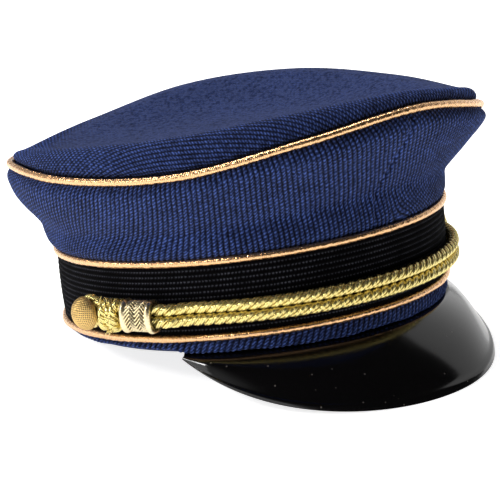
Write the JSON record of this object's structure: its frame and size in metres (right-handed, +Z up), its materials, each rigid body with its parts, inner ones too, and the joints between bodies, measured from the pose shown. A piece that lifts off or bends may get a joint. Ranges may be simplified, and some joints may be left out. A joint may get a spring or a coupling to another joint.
{
  "type": "peaked cap for a doll",
  "caption": "Small uniform cap: round twill crown with dished top and gold piping, black braid band, doubled gold chin cord on two buttons, and a gloss black peak.",
  "frame": {"origin": "middle of the cap's box, on the surface that it rests on", "axes": "+Z up, the peak towards -Y, the wearer's left towards +X"},
  "size_m": [0.0402, 0.0452, 0.0251],
  "materials": {
    "blue_twill": "ribbed twill cloth",
    "black_braid": "ribbed braid",
    "gold_piping": "metallic thread piping",
    "gold_cord": "twisted metallic cord",
    "gilt": "pale gilt",
    "black_lacquer": "gloss moulded"
  },
  "bodies": {
    "root": {"crown_top": "blue_twill", "crown_side": "blue_twill", "hem": "blue_twill", "band": "black_braid", "crown_piping": "gold_piping", "band_upper_piping": "gold_piping", "band_lower_piping": "gold_piping", "peak": "black_lacquer", "chin_cord": "gold_cord", "cord_knot_right": "gold_cord", "cord_knot_left": "gold_cord", "slider_right": "gilt", "slider_left": "gilt", "button_right": "gilt", "button_left": "gilt"}
  },
  "joints": []
}
